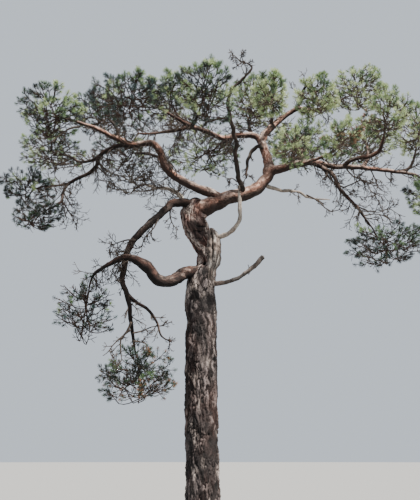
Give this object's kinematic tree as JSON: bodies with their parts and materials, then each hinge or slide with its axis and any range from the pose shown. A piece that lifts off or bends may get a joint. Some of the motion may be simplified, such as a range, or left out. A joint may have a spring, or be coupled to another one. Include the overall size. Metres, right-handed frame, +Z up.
{
  "type": "pine tree",
  "caption": "Old pine tree with a bare trunk, crooked reddish limbs, dead grey branches and a wide flat crown of needle tufts, cut flat at ground level.",
  "frame": {"origin": "middle of the flat cut under the trunk, at ground level", "axes": "+Z up along the trunk, +X towards the long right limb, +Y away from the side that the picture shows"},
  "size_m": [7.4295, 4.3835, 8.1227],
  "materials": {
    "trunk_bark": "deeply fissured grey-brown bark plates, turning reddish higher up",
    "limb_bark": "thin flaking red-brown bark with pinkish grey patches",
    "deadwood_grey": "weathered grey dead wood, barkless, dry and matt",
    "deadwood_dark": "dark dead wood with remains of bark, matt",
    "dead_twigs": "thin dry grey dead twigs with lichen",
    "needles_green": "fresh green needles in round tufts",
    "needles_dark": "older, darker green needles in round tufts"
  },
  "bodies": {
    "root": {"arching_limb": "limb_bark", "back_left_bough": "limb_bark", "back_right_bough": "limb_bark", "broken_branch": "deadwood_dark", "centre_back_bough": "limb_bark", "crown_left_limb": "limb_bark", "crown_low_bough": "limb_bark", "dead_top": "deadwood_dark", "dead_twigs_left": "dead_twigs", "dead_twigs_top": "dead_twigs", "front_low_bough": "limb_bark", "front_middle_bough": "limb_bark", "front_right_bough": "limb_bark", "grey_branch": "deadwood_grey", "hanging_limb": "limb_bark", "hanging_side_branch": "limb_bark", "hooked_branch": "deadwood_dark", "left_limb": "limb_bark", "left_low_bough": "limb_bark", "left_low_limb": "limb_bark", "left_top_bough": "limb_bark", "left_under_bough": "limb_bark", "needles_back_left": "needles_green", "needles_back_right": "needles_green", "needles_centre_back": "needles_green", "needles_front_left": "needles_green", "needles_front_low": "needles_green", "needles_front_middle": "needles_green", "needles_front_right": "needles_green", "needles_left_low": "needles_green", "needles_left_lowest": "needles_dark", "needles_left_outer": "needles_green", "needles_left_top": "needles_green", "needles_left_under": "needles_green", "needles_low_hanging": "needles_dark", "needles_low_outer": "needles_dark", "needles_right_back": "needles_green", "needles_right_drooping": "needles_dark", "needles_right_end": "needles_green", "needles_right_middle": "needles_green", "needles_right_outer": "needles_green", "needles_right_top": "needles_green", "needles_right_upper": "needles_green", "needles_top_left": "needles_green", "needles_top_middle": "needles_green", "needles_top_right": "needles_green", "pale_branch": "deadwood_grey", "right_back_bough": "limb_bark", "right_drooping_limb": "limb_bark", "right_limb": "limb_bark", "right_middle_bough": "limb_bark", "right_outer_bough": "limb_bark", "right_upper_bough": "limb_bark", "rising_limb": "limb_bark", "sagging_limb": "limb_bark", "top_left_bough": "limb_bark", "top_middle_bough": "limb_bark", "top_right_bough": "limb_bark", "trunk": "trunk_bark", "twiggy_limb": "deadwood_grey"}
  },
  "joints": []
}
